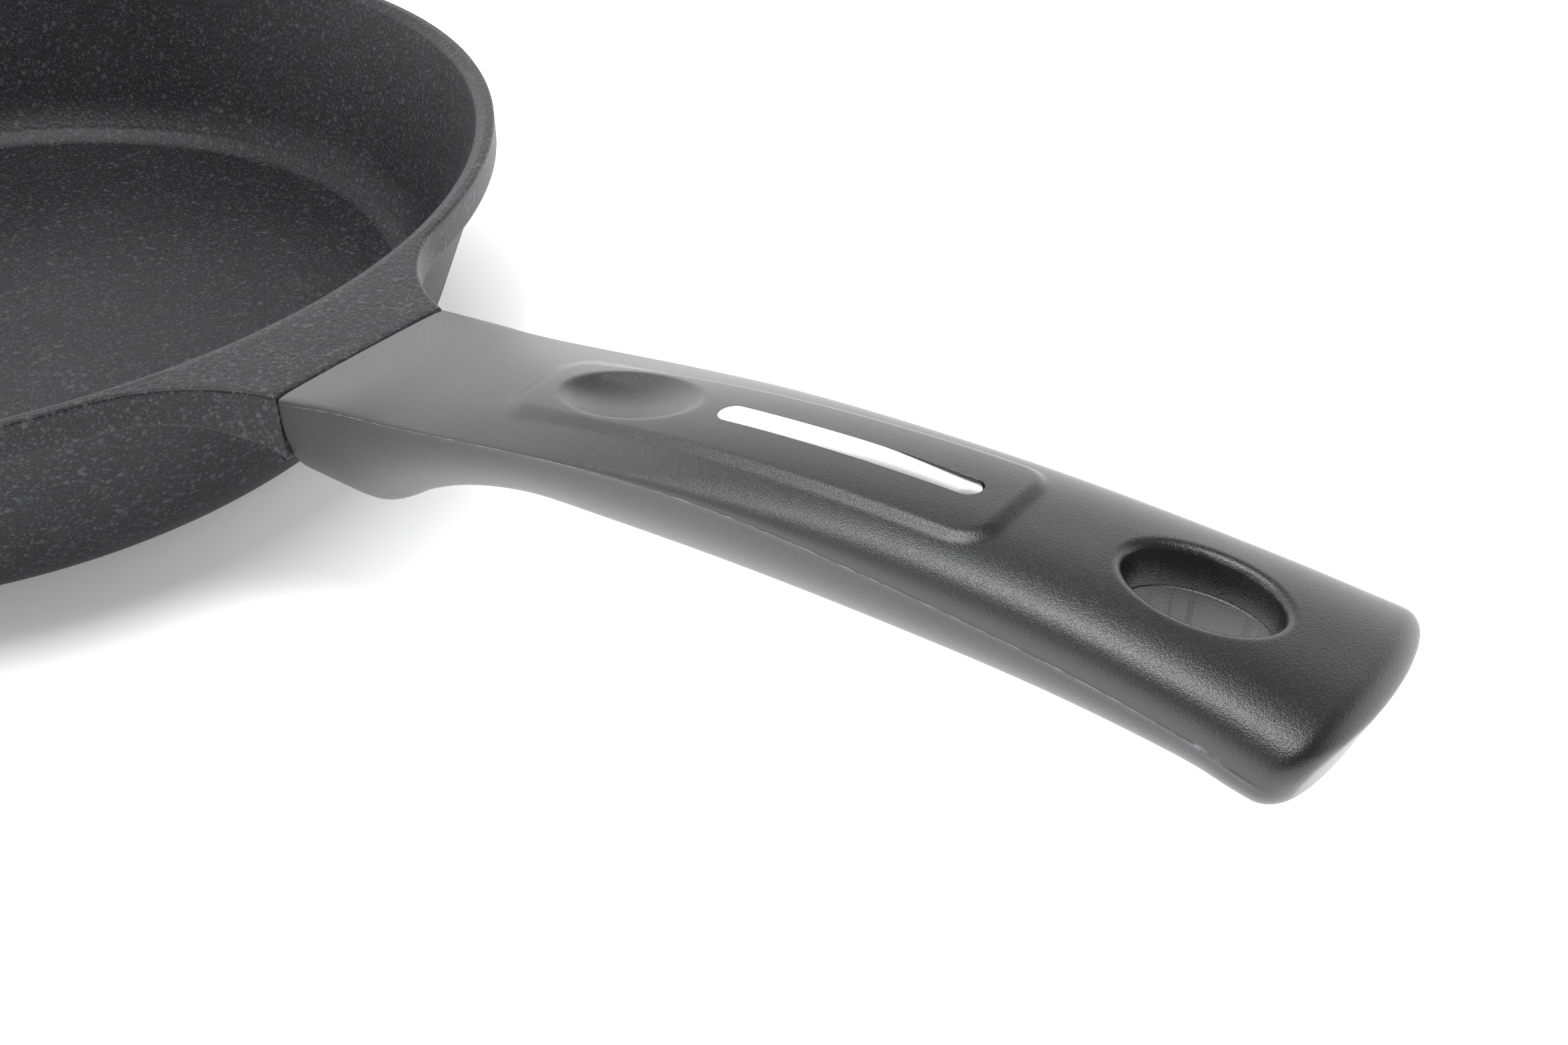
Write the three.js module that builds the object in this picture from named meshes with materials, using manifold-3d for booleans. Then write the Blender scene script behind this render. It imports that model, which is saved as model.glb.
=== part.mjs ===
// Cast-aluminium frying pan with a moulded phenolic handle.
// Millimetres, +Z up. The pan's axis is Z, it stands on Z = 0, and the handle runs along +X.
import * as THREE from "three";
import { mergeVertices } from "three/addons/utils/BufferGeometryUtils.js";
import Module from "manifold-3d";

const wasm = await Module();
wasm.setup();

// ---------- driving dimensions ----------
const GAP = 0.3; // clearance between touching pieces
const SEGMENTS = 112; // facets round the pan

// pan casting
const RIM_RADIUS = 130;
const RIM_HEIGHT = 55;
const RIM_BEAD = 7.4; // height of the thickened band round the rim
const WALL = 3.8;
const WALL_LEAN = THREE.MathUtils.degToRad(22); // wall's lean from the vertical
const CORNER_RADIUS = 30; // outer corner between base and wall
const BASE_RADIUS = 87.8; // flat face that stands on the hob
const FLOOR_HEIGHT = 9.5;
const FLOOR_RADIUS = 103.5;
const FLOOR_STEP = 2.7; // sloped step where the floor meets the wall

// cast lug and tongue that carry the handle
const JOINT_X = 148.6; // plane where the handle butts against the lug
const LUG_TOP = 54.9;
const LUG_HALF_WIDTH = 19.6;
const LUG_FLARE = 38; // radius of the concave flare between rim and lug
const LUG_END_BOTTOM = 38;
const TONGUE = { end: 174, halfWidth: 10, bottom: 42, top: 50 };

// handle
const TIP_X = 343.5;
const TIP_BOW = 75; // radius of the end face seen from above
const TIP_EDGE = 4; // rounding round the end face
const TIP_RAKE = Math.tan(THREE.MathUtils.degToRad(20)); // the end face leans back under the tip
const PANEL = { x0: 195, x1: 287.5, halfFront: 9.6, halfRear: 10.4, corner: 5, raise: 0.7 };
const DISH = { x: 215, halfLength: 14.3, halfWidth: 7.6, depth: 2.6, lift: 6 };
const SLOT = { x0: 234, x1: 281.6, halfWidth: 2.3 };
const STRIP = { thickness: 0.6, sinkFront: 0, sinkRear: 0.6 };
const HOLE = { x: 316, halfLength: 11.4, halfWidth: 7.1 };

// fastening, driven up into the tongue from underneath
const SCREW_X = 163;
const SCREW_RADIUS = 2.5;
const HEAD = { radius: 4.6, height: 3.2, edge: 0.6 };
const SCREW_TIP = 49.4;
const COUNTERBORE = { radius: 6, top: 39 };
const FLAT_WASHER = { radius: 5.3, thickness: 1 };
const SPRING_WASHER = { radius: 4.5, thickness: 1.2, slit: 0.8 };

// ---------- guides of the handle: height and width along X ----------
const guide = (pairs) => new THREE.SplineCurve(pairs.map(([x, v]) => new THREE.Vector2(x, v)));

function along(curve) {
  const table = curve.getPoints(240);
  return (x) => {
    const next = table.findIndex((p) => p.x >= x);
    if (next < 0) return table[table.length - 1].y;
    if (next === 0) return table[0].y;
    const [a, b] = [table[next - 1], table[next]];
    return THREE.MathUtils.mapLinear(x, a.x, b.x, a.y, b.y);
  };
}

const topAt = along(guide([
  [148, 54.9], [162, 58.4], [175, 61.2], [195, 65.9], [215, 70.5], [235, 74.4], [255, 77.2],
  [275, 78.9], [297, 79.6], [320, 79], [344, 77.2],
]));
const bottomAt = along(guide([
  [148, 35.4], [151, 33.8], [156, 32.5], [161, 31.8], [164, 32], [167, 34], [171, 36.9],
  [176, 39.8], [182, 43], [190, 46], [202, 49.5], [220, 51.4], [246, 53.6], [275, 56],
  [303, 58.2], [325, 59], [344, 58.8],
]));
const halfWidthAt = along(guide([
  [148, 20.5], [160, 19.6], [180, 18.7], [215, 17.7], [250, 17.2], [280, 17.2], [305, 17.8],
  [325, 19.3], [344, 21],
]));
// depth of the widest line below the top, and how square the section is above and below it
const widestDepthAt = along(guide([[148, 2.4], [190, 2.8], [225, 4.5], [260, 6.2], [290, 7], [344, 7]]));
const topSquareness = along(guide([[148, 9], [175, 5], [200, 3.2], [235, 2.6], [344, 2.7]]));
const underSquareness = along(guide([[148, 2.8], [175, 2.5], [205, 2.3], [344, 2.3]]));

// ---------- geometry helpers ----------
// closed solid through rings of equally many points, capped by a fan at each end
function loft(rings) {
  const count = rings[0].length;
  const positions = rings.flat().flatMap((p) => [p.x, p.y, p.z]);
  const indices = [];
  for (let i = 0; i + 1 < rings.length; i++) {
    for (let j = 0; j < count; j++) {
      const a = i * count + j;
      const b = i * count + ((j + 1) % count);
      indices.push(a, b, b + count, a, b + count, a + count);
    }
  }
  for (const [start, flip] of [[0, true], [(rings.length - 1) * count, false]]) {
    const centre = positions.length / 3;
    const middle = new THREE.Vector3();
    for (let j = 0; j < count; j++) middle.add(new THREE.Vector3().fromArray(positions, 3 * (start + j)));
    positions.push(...middle.divideScalar(count).toArray());
    for (let j = 0; j < count; j++) {
      const a = start + j;
      const b = start + ((j + 1) % count);
      indices.push(...(flip ? [b, a, centre] : [a, b, centre]));
    }
  }
  const geometry = new THREE.BufferGeometry();
  geometry.setAttribute("position", new THREE.Float32BufferAttribute(positions, 3));
  geometry.setIndex(indices);
  return geometry;
}

function solid(geometry) {
  const bare = geometry.clone();
  bare.deleteAttribute("normal");
  bare.deleteAttribute("uv");
  const merged = mergeVertices(bare, 1e-4);
  const triangles = [];
  for (let i = 0; i < merged.index.count; i += 3) {
    const [a, b, c] = [0, 1, 2].map((k) => merged.index.getX(i + k));
    if (a !== b && b !== c && c !== a) triangles.push(a, b, c);
  }
  return new wasm.Manifold(new wasm.Mesh({
    numProp: 3,
    vertProperties: new Float32Array(merged.attributes.position.array),
    triVerts: new Uint32Array(triangles),
  }));
}

function geometryOf(manifold) {
  const mesh = manifold.getMesh();
  const geometry = new THREE.BufferGeometry();
  geometry.setAttribute("position", new THREE.Float32BufferAttribute(mesh.vertProperties, 3));
  geometry.setIndex([...mesh.triVerts]);
  const flat = geometry.toNonIndexed();
  flat.computeVertexNormals();
  return flat;
}

// outline in plan, pulled up from z0 to z1
function prism(shape, z0, z1, curveSegments = 12) {
  const geometry = new THREE.ExtrudeGeometry(shape, { depth: z1 - z0, bevelEnabled: false, curveSegments });
  return solid(geometry.translate(0, 0, z0));
}

// outline in the XZ plane, pulled out to both sides of Y = 0
function sideways(shape, halfWidth) {
  const geometry = new THREE.ExtrudeGeometry(shape, { depth: 2 * halfWidth, bevelEnabled: false, curveSegments: 12 });
  return solid(geometry.rotateX(Math.PI / 2).translate(0, halfWidth, 0));
}

// profile of [radius, height] pairs turned round a vertical axis through (x, 0)
function turned(profile, x = 0, segments = 40) {
  const points = profile.map(([r, z]) => new THREE.Vector2(r, z));
  const geometry = new THREE.LatheGeometry(points, segments);
  return solid(geometry.rotateX(Math.PI / 2).translate(x, 0, 0));
}

function stadium(x0, x1, halfWidth) {
  const shape = new THREE.Shape();
  shape.absarc(x1 - halfWidth, 0, halfWidth, -Math.PI / 2, Math.PI / 2);
  shape.absarc(x0 + halfWidth, 0, halfWidth, Math.PI / 2, 1.5 * Math.PI);
  return shape;
}

// band between two height functions, from x0 to x1
function band(x0, x1, upper, lower, halfWidth, steps = 24) {
  const xs = Array.from({ length: steps + 1 }, (_, i) => x0 + ((x1 - x0) * i) / steps);
  const outline = xs.map((x) => new THREE.Vector2(x, lower(x)));
  outline.push(...xs.reverse().map((x) => new THREE.Vector2(x, upper(x))));
  return sideways(new THREE.Shape(outline), halfWidth);
}

// ---------- pan casting ----------
function cornerArc(radius, from, to, steps = 8) {
  return Array.from({ length: steps + 1 }, (_, i) => {
    const angle = from + ((to - from) * i) / steps;
    return [BASE_RADIUS + radius * Math.cos(angle), CORNER_RADIUS - radius * Math.sin(angle)];
  });
}

function panBody() {
  const beadFoot = RIM_HEIGHT - RIM_BEAD;
  const outside = turned([
    [0, 0],
    ...cornerArc(CORNER_RADIUS, Math.PI / 2, WALL_LEAN),
    [RIM_RADIUS - 2.9, beadFoot - 0.6],
    [RIM_RADIUS - 0.7, beadFoot + 0.1],
    [RIM_RADIUS, beadFoot + 1],
    [RIM_RADIUS, RIM_HEIGHT - 1.3],
    [RIM_RADIUS - 0.7, RIM_HEIGHT - 0.3],
    [RIM_RADIUS - 1.7, RIM_HEIGHT],
    [0, RIM_HEIGHT],
  ], 0, SEGMENTS);

  const innerCorner = CORNER_RADIUS - WALL;
  const wallStart = Math.asin((CORNER_RADIUS - FLOOR_HEIGHT - FLOOR_STEP) / innerCorner);
  const wallTop = cornerArc(innerCorner, wallStart, WALL_LEAN);
  const [wallRadius, wallHeight] = wallTop[wallTop.length - 1];
  const lipRadius = wallRadius + (RIM_HEIGHT - 0.6 - wallHeight) * Math.tan(WALL_LEAN);
  const hollow = turned([
    [0, FLOOR_HEIGHT],
    [FLOOR_RADIUS, FLOOR_HEIGHT],
    ...wallTop,
    [lipRadius, RIM_HEIGHT - 0.6],
    [lipRadius + 0.8, RIM_HEIGHT + 0.1],
    [lipRadius + 0.8, RIM_HEIGHT + 5],
    [0, RIM_HEIGHT + 5],
  ], 0, SEGMENTS);

  return outside.add(lug()).add(tongue()).subtract(hollow).subtract(tongueHole());
}

// plan outline that flares from the rim down to the handle's width
function lug() {
  const flareY = LUG_HALF_WIDTH + LUG_FLARE;
  const touch = Math.asin(flareY / (RIM_RADIUS + LUG_FLARE));
  const flareX = (RIM_RADIUS + LUG_FLARE) * Math.cos(touch);
  const end = JOINT_X - GAP;
  const stop = Math.acos((end - flareX) / LUG_FLARE);
  const shape = new THREE.Shape();
  shape.moveTo(RIM_RADIUS * 0.88, 0);
  shape.lineTo((RIM_RADIUS - 6) * Math.cos(touch), -(RIM_RADIUS - 6) * Math.sin(touch));
  shape.absarc(flareX, -flareY, LUG_FLARE, Math.PI - touch, stop, true);
  shape.absarc(flareX, flareY, LUG_FLARE, -stop, Math.PI + touch, true);
  shape.lineTo((RIM_RADIUS - 6) * Math.cos(touch), (RIM_RADIUS - 6) * Math.sin(touch));
  const side = new THREE.Shape();
  side.moveTo(100, RIM_HEIGHT - RIM_BEAD);
  side.lineTo(RIM_RADIUS, RIM_HEIGHT - RIM_BEAD);
  side.quadraticCurveTo(JOINT_X - 9, RIM_HEIGHT - RIM_BEAD - 1.5, end, LUG_END_BOTTOM);
  side.lineTo(end, LUG_TOP);
  side.lineTo(100, LUG_TOP);
  return prism(shape, LUG_END_BOTTOM - 1, LUG_TOP, 16).intersect(sideways(side, 80));
}

function tongueOutline(clearance) {
  const { end, halfWidth } = TONGUE;
  const shape = new THREE.Shape();
  const half = halfWidth + clearance;
  shape.moveTo(JOINT_X - 4, -half);
  shape.lineTo(end - 3, -half);
  shape.lineTo(end + clearance, -half + 3);
  shape.lineTo(end + clearance, half - 3);
  shape.lineTo(end - 3, half);
  shape.lineTo(JOINT_X - 4, half);
  return shape;
}

const tongue = () => prism(tongueOutline(0), TONGUE.bottom, TONGUE.top);
const tongueHole = () => turned([
  [0, TONGUE.bottom - 1],
  [SCREW_RADIUS + GAP, TONGUE.bottom - 1],
  [SCREW_RADIUS + GAP, TONGUE.top + 1],
  [0, TONGUE.top + 1],
], SCREW_X, 20);

// ---------- handle ----------
const SECTION_POINTS = 36;

function section(x, inset = 0, bow = 0) {
  const top = topAt(x) - inset;
  const bottom = bottomAt(x) + inset;
  const widest = topAt(x) - widestDepthAt(x);
  const half = halfWidthAt(x) - inset;
  return Array.from({ length: SECTION_POINTS }, (_, i) => {
    const angle = (2 * Math.PI * i) / SECTION_POINTS;
    const [c, s] = [Math.cos(angle), Math.sin(angle)];
    const power = 2 / (s >= 0 ? topSquareness(x) : underSquareness(x));
    const y = half * Math.sign(c) * Math.abs(c) ** power;
    const reach = s >= 0 ? top - widest : widest - bottom;
    const z = widest + Math.sign(s) * reach * Math.abs(s) ** power;
    const setBack = (y * y) / (2 * TIP_BOW) + Math.max(0, topAt(x) - 3 - z) * TIP_RAKE;
    return new THREE.Vector3(x - bow * setBack, y, z);
  });
}

function handleBlank() {
  const rings = [];
  const stations = [JOINT_X, 150, 152, 155, 158, 161, 164, 167, 169, 171, 173, 175, 178];
  for (let x = 182; x < TIP_X - 22; x += 6) stations.push(x);
  rings.push(...stations.map((x) => section(x)));
  const roundStart = TIP_X - TIP_EDGE;
  for (const bow of [0.2, 0.4, 0.6, 0.8]) rings.push(section(roundStart - 15 * (1 - bow), 0, bow));
  for (const angle of [0, 30, 60, 90].map(THREE.MathUtils.degToRad)) {
    const inset = TIP_EDGE * (1 - Math.cos(angle));
    rings.push(section(roundStart + TIP_EDGE * Math.sin(angle), inset, 1));
  }
  return solid(loft(rings));
}

function panelOutline() {
  const { x0, x1, halfFront, halfRear, corner } = PANEL;
  const shape = new THREE.Shape();
  shape.moveTo(x0 + corner, -halfFront);
  shape.lineTo(x1 - corner, -halfRear);
  shape.quadraticCurveTo(x1, -halfRear, x1, -halfRear + corner);
  shape.lineTo(x1, halfRear - corner);
  shape.quadraticCurveTo(x1, halfRear, x1 - corner, halfRear);
  shape.lineTo(x0 + corner, halfFront);
  shape.quadraticCurveTo(x0, halfFront, x0, halfFront - corner);
  shape.lineTo(x0, -halfFront + corner);
  shape.quadraticCurveTo(x0, -halfFront, x0 + corner, -halfFront);
  return shape;
}

function thumbDish() {
  const depth = DISH.depth + DISH.lift;
  const widen = 1 / Math.sqrt(1 - (DISH.lift / depth) ** 2);
  const slope = Math.atan2(topAt(DISH.x + 10) - topAt(DISH.x - 10), 20);
  const geometry = new THREE.SphereGeometry(1, 32, 24);
  geometry.scale(DISH.halfLength * widen, DISH.halfWidth * widen, depth);
  geometry.translate(0, 0, DISH.lift);
  geometry.rotateY(-slope);
  geometry.translate(DISH.x, 0, topAt(DISH.x) + PANEL.raise);
  return solid(geometry);
}

const panelHeight = (x) => topAt(x) + PANEL.raise;
const stripTop = (x) => panelHeight(x) - THREE.MathUtils.mapLinear(
  x, SLOT.x0, SLOT.x1, STRIP.sinkFront, STRIP.sinkRear,
);

function hangingHole() {
  const shape = new THREE.Shape();
  shape.absellipse(HOLE.x, 0, HOLE.halfLength, HOLE.halfWidth, 0, 2 * Math.PI);
  return prism(shape, 40, 100, 20);
}

function handle() {
  const blank = handleBlank();
  const panel = prism(panelOutline(), 55, 100).intersect(blank.translate([0, 0, PANEL.raise]));
  const slotFloor = (x) => stripTop(x) - STRIP.thickness - GAP;
  const slot = prism(stadium(SLOT.x0, SLOT.x1, SLOT.halfWidth), 55, 100)
    .intersect(band(SLOT.x0 - 1, SLOT.x1 + 1, () => 99, slotFloor, SLOT.halfWidth + 1));
  const socket = prism(tongueOutline(GAP), TONGUE.bottom - GAP, TONGUE.top + GAP);
  const screwWay = turned([
    [0, 20],
    [COUNTERBORE.radius, 20],
    [COUNTERBORE.radius, COUNTERBORE.top],
    [SCREW_RADIUS + GAP + 0.1, COUNTERBORE.top],
    [SCREW_RADIUS + GAP + 0.1, TONGUE.bottom],
    [0, TONGUE.bottom],
  ], SCREW_X, 32);
  return blank.add(panel).subtract(slot).subtract(thumbDish()).subtract(hangingHole())
    .subtract(socket).subtract(screwWay);
}

function handleInlay() {
  const under = (x) => stripTop(x) - STRIP.thickness;
  return prism(stadium(SLOT.x0 + GAP, SLOT.x1 - GAP - 0.4, SLOT.halfWidth - GAP), 55, 100)
    .intersect(band(SLOT.x0, SLOT.x1, stripTop, under, SLOT.halfWidth));
}

// ---------- fastening ----------
const flatWasherBottom = COUNTERBORE.top - GAP - FLAT_WASHER.thickness;
const springWasherBottom = flatWasherBottom - GAP - SPRING_WASHER.thickness;
const headTop = springWasherBottom - GAP;

function ring(outer, bottom, thickness) {
  const inner = SCREW_RADIUS + GAP;
  return turned([
    [inner, bottom],
    [outer, bottom],
    [outer, bottom + thickness],
    [inner, bottom + thickness],
    [inner, bottom],
  ], SCREW_X, 32);
}

const flatWasher = () => ring(FLAT_WASHER.radius, flatWasherBottom, FLAT_WASHER.thickness);

function springWasher() {
  const { radius, thickness, slit } = SPRING_WASHER;
  const cut = new THREE.BoxGeometry(radius * 2, slit, thickness * 3);
  cut.translate(SCREW_X + radius + SCREW_RADIUS / 2, 0, springWasherBottom);
  return ring(radius, springWasherBottom, thickness).subtract(solid(cut));
}

function handleScrew() {
  const { radius, height, edge } = HEAD;
  const body = turned([
    [0, headTop - height],
    [radius - 2 * edge, headTop - height],
    [radius - edge / 2, headTop - height + edge],
    [radius, headTop - height + 2 * edge],
    [radius, headTop],
    [SCREW_RADIUS, headTop],
    [SCREW_RADIUS, SCREW_TIP - 1],
    [SCREW_RADIUS - 0.8, SCREW_TIP],
    [0, SCREW_TIP],
  ], SCREW_X, 32);
  const blade = () => new THREE.BoxGeometry(5, 1.1, 3.6).translate(0, 0, headTop - height);
  const cross = solid(blade()).add(solid(blade().rotateZ(Math.PI / 2)));
  return body.subtract(cross.translate([SCREW_X, 0, 0]));
}

// ---------- assembly ----------
const coating = { color: 0x3a3b3e, roughness: 0.5, metalness: 0.2 };
const phenolic = { color: 0x2b2c2f, roughness: 0.45, metalness: 0 };
const stainless = { color: 0xd8dadd, roughness: 0.12, metalness: 1 };
const zincSteel = { color: 0xb4b8ba, roughness: 0.35, metalness: 1 };

const pieces = [
  ["pan_body", panBody, coating],
  ["handle", handle, phenolic],
  ["handle_inlay", handleInlay, stainless],
  ["handle_screw", handleScrew, zincSteel],
  ["spring_washer", springWasher, zincSteel],
  ["flat_washer", flatWasher, zincSteel],
];

const group = new THREE.Group();
for (const [name, make, finish] of pieces) {
  const mesh = new THREE.Mesh(geometryOf(make()), new THREE.MeshStandardMaterial(finish));
  mesh.name = name;
  group.add(mesh);
}
export default group;
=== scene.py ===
from bisect import bisect_right
from math import asin, atan2, cos, hypot, pi, radians, sin, sqrt, tan

import bmesh
import bpy
from bpy.props import FloatProperty, FloatVectorProperty, IntProperty, PointerProperty
from mathutils import Euler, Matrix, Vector, noise


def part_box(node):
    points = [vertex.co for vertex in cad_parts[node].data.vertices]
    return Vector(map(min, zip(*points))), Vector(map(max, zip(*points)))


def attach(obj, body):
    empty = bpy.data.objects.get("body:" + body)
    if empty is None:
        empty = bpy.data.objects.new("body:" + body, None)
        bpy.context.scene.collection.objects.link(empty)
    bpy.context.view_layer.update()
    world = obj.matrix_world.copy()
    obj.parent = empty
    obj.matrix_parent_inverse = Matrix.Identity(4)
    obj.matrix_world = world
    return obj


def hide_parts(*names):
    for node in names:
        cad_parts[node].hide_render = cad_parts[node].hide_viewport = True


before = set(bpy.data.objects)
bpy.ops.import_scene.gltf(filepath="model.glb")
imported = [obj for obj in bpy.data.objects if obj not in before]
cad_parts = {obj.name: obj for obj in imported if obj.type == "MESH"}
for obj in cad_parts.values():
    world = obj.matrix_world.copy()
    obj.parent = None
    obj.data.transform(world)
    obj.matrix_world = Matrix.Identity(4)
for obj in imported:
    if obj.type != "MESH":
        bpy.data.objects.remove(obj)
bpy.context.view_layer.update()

bl_info = {
    "name": "Frying pan",
    "version": (1, 0, 0),
    "blender": (4, 5, 0),
    "location": "View3D > Sidebar > Frying pan",
    "description": "Cast frying pan with a speckled non-stick coating and a moulded handle",
    "category": "Add Mesh",
}

MM = 0.001
PAN_LOW, PAN_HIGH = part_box("pan_body")
HANDLE_LOW, HANDLE_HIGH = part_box("handle")
SCREW_LOW, SCREW_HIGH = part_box("handle_screw")
JOINT_X = HANDLE_LOW[0]
RIDGE = "parting_ridge"  # attribute on the handle: 1 on the parting line, 0 elsewhere
LUG_GAP = 0.3 * MM  # air between the lug's end and the handle
TONGUE = {"tip": 174 * MM, "half_width": 10.1 * MM, "low": 41.9 * MM, "high": 50.2 * MM}
SOCKET = {"end": 174.3 * MM, "half_width": 10.3 * MM, "low": 41.7 * MM, "high": 50.3 * MM}


# ---------- settings ----------


class PanSettings(bpy.types.PropertyGroup):
    rim_radius: FloatProperty(
        name="Rim radius", description="Outer radius of the rim", default=-PAN_LOW[1], unit="LENGTH"
    )
    height: FloatProperty(
        name="Height", description="Height of the rim above the hob", default=PAN_HIGH[2], unit="LENGTH"
    )
    bead: FloatProperty(
        name="Bead", description="Height of the thick band round the rim", default=0.0074, unit="LENGTH"
    )
    wall: FloatProperty(name="Wall", description="Thickness of the wall", default=0.0038, unit="LENGTH")
    lean: FloatProperty(
        name="Lean", description="How far the wall leans outwards", default=radians(22), unit="ROTATION"
    )
    corner: FloatProperty(
        name="Corner", description="Outer radius between base and wall", default=0.03, unit="LENGTH"
    )
    base_radius: FloatProperty(
        name="Base radius", description="Radius of the flat base", default=0.0878, unit="LENGTH"
    )
    floor_height: FloatProperty(
        name="Floor height", description="Height of the cooking floor", default=0.0095, unit="LENGTH"
    )
    floor_radius: FloatProperty(
        name="Floor radius", description="Radius of the cooking floor", default=0.1035, unit="LENGTH"
    )
    floor_step: FloatProperty(
        name="Floor step", description="Height of the sloped step round the floor", default=0.0027, unit="LENGTH"
    )
    lug_half_width: FloatProperty(
        name="Lug half width", description="Half the lug's width at the handle", default=0.0206, unit="LENGTH"
    )
    lug_flare: FloatProperty(
        name="Lug flare", description="Radius of the curve between rim and lug", default=0.038, unit="LENGTH"
    )
    lug_top: FloatProperty(
        name="Lug top", description="Height of the lug's top at the handle", default=0.0549, unit="LENGTH"
    )
    steps: IntProperty(name="Steps", description="Steps round the rim, lug left out", default=216)


class HandleSettings(bpy.types.PropertyGroup):
    tip_radius: FloatProperty(
        name="Tip bow", description="Radius of the tip seen from above", default=0.066, unit="LENGTH"
    )
    tip_edge: FloatProperty(
        name="Tip edge", description="Rounding round the end face", default=0.0034, unit="LENGTH"
    )
    tip_rake: FloatProperty(
        name="Tip rake", description="How far the end face leans back under", default=radians(19), unit="ROTATION"
    )
    panel_raise: FloatProperty(
        name="Panel height", description="How far the panel stands up", default=0.0007, unit="LENGTH"
    )
    panel_bevel: FloatProperty(
        name="Panel bevel", description="Width of the slope round the panel", default=0.002, unit="LENGTH"
    )
    dish_depth: FloatProperty(
        name="Dish depth", description="Depth of the thumb dish", default=0.0029, unit="LENGTH"
    )
    slot_half_width: FloatProperty(
        name="Slot half width", description="Half the slot's width", default=0.0024, unit="LENGTH"
    )
    hole_length: FloatProperty(
        name="Hole length", description="Length of the hanging hole", default=0.0228, unit="LENGTH"
    )
    hole_width: FloatProperty(
        name="Hole width", description="Width of the hanging hole", default=0.0142, unit="LENGTH"
    )
    hole_edge: FloatProperty(
        name="Hole edge", description="Rounding round the hanging hole", default=0.0017, unit="LENGTH"
    )


class FinishSettings(bpy.types.PropertyGroup):
    coating: FloatVectorProperty(
        name="Coating", description="Ground colour of the coating", default=(0.0085, 0.0085, 0.0093), subtype="COLOR"
    )
    fleck: FloatVectorProperty(
        name="Fleck", description="Colour of the pale flecks", default=(0.15, 0.15, 0.168), subtype="COLOR"
    )
    metal: FloatVectorProperty(
        name="Bare metal", description="Turned metal of the base", default=(0.72, 0.72, 0.73), subtype="COLOR"
    )
    phenolic: FloatVectorProperty(
        name="Handle", description="Colour of the handle", default=(0.007, 0.007, 0.0078), subtype="COLOR"
    )
    steel: FloatVectorProperty(
        name="Steel", description="Polished steel strip", default=(0.96, 0.96, 0.96), subtype="COLOR"
    )
    zinc: FloatVectorProperty(
        name="Zinc", description="Zinc-plated screw and washers", default=(0.6, 0.62, 0.64), subtype="COLOR"
    )


class StageSettings(bpy.types.PropertyGroup):
    floor: FloatVectorProperty(
        name="Floor", description="Colour of the floor", default=(0.92, 0.92, 0.92), subtype="COLOR"
    )
    glow: FloatProperty(name="Floor glow", description="Light that the floor gives off by itself", default=0.22)
    softbox: FloatProperty(name="Softbox", description="Power of the overhead softbox", default=16, unit="POWER")
    surround: FloatProperty(name="Surround", description="Strength of the white surround", default=2.5)
    focal: FloatProperty(name="Focal length", description="The camera's focal length, mm", default=41.76)


# ---------- curves and small helpers ----------


def guide(*pairs):
    """A smooth curve through (place, value) pairs in millimetres, read in metres."""
    xs = [x * MM for x, _ in pairs]
    ys = [y * MM for _, y in pairs]
    last = len(xs) - 1
    chords = [(ys[i + 1] - ys[i]) / (xs[i + 1] - xs[i]) for i in range(last)]
    slopes = [chords[0]]
    for i in range(1, last):
        before, after = xs[i] - xs[i - 1], xs[i + 1] - xs[i]
        slopes.append((chords[i - 1] * after + chords[i] * before) / (before + after))
    slopes.append(chords[-1])

    def read(x):
        x = min(max(x, xs[0]), xs[-1])
        i = min(max(bisect_right(xs, x) - 1, 0), last - 1)
        run = xs[i + 1] - xs[i]
        t = (x - xs[i]) / run
        a, b = ys[i], ys[i + 1]
        rise = t * t * (3 - 2 * t)
        return a + (b - a) * rise + run * t * (1 - t) * ((1 - t) * slopes[i] - t * slopes[i + 1])

    return read


def mix(a, b, t):
    return a + (b - a) * t


def ramp(value, low, high):
    """0 below low, 1 above high, and a soft rise between them."""
    t = min(max((value - low) / (high - low), 0.0), 1.0)
    return t * t * (3 - 2 * t)


def spread(start, end, count):
    return [mix(start, end, i / count) for i in range(count + 1)]


def piece_from(bm, name):
    """Turns a bmesh into an object in the scene."""
    mesh = bpy.data.meshes.new(name)
    bm.to_mesh(mesh)
    bm.free()
    piece = bpy.data.objects.new(name, mesh)
    bpy.context.scene.collection.objects.link(piece)
    return piece


def smooth(bm, sharpest=radians(38)):
    """Smooth shading, with edges sharper than an angle left crisp."""
    for face in bm.faces:
        face.smooth = True
    for edge in bm.edges:
        edge.smooth = len(edge.link_faces) == 2 and edge.calc_face_angle(0.0) < sharpest


def outward(bm):
    bmesh.ops.recalc_face_normals(bm, faces=bm.faces)
    if bm.calc_volume(signed=True) < 0:
        bmesh.ops.reverse_faces(bm, faces=bm.faces)


def cut_away(bm, cutters):
    """The solid in bm less each cutter, as a new bmesh."""
    solid = piece_from(bm, "solid")
    helpers = [solid]
    for i, cutter in enumerate(cutters):
        outward(cutter)
        tool = piece_from(cutter, f"cutter_{i}")
        helpers.append(tool)
        boolean = solid.modifiers.new(f"cut_{i}", "BOOLEAN")
        boolean.operation = "DIFFERENCE"
        boolean.solver = "MANIFOLD"
        boolean.object = tool
    result = solid.evaluated_get(bpy.context.evaluated_depsgraph_get())
    cut = bmesh.new()
    cut.from_mesh(result.to_mesh())
    result.to_mesh_clear()
    for helper in helpers:
        mesh = helper.data
        bpy.data.objects.remove(helper)
        bpy.data.meshes.remove(mesh)
    return cut


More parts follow.
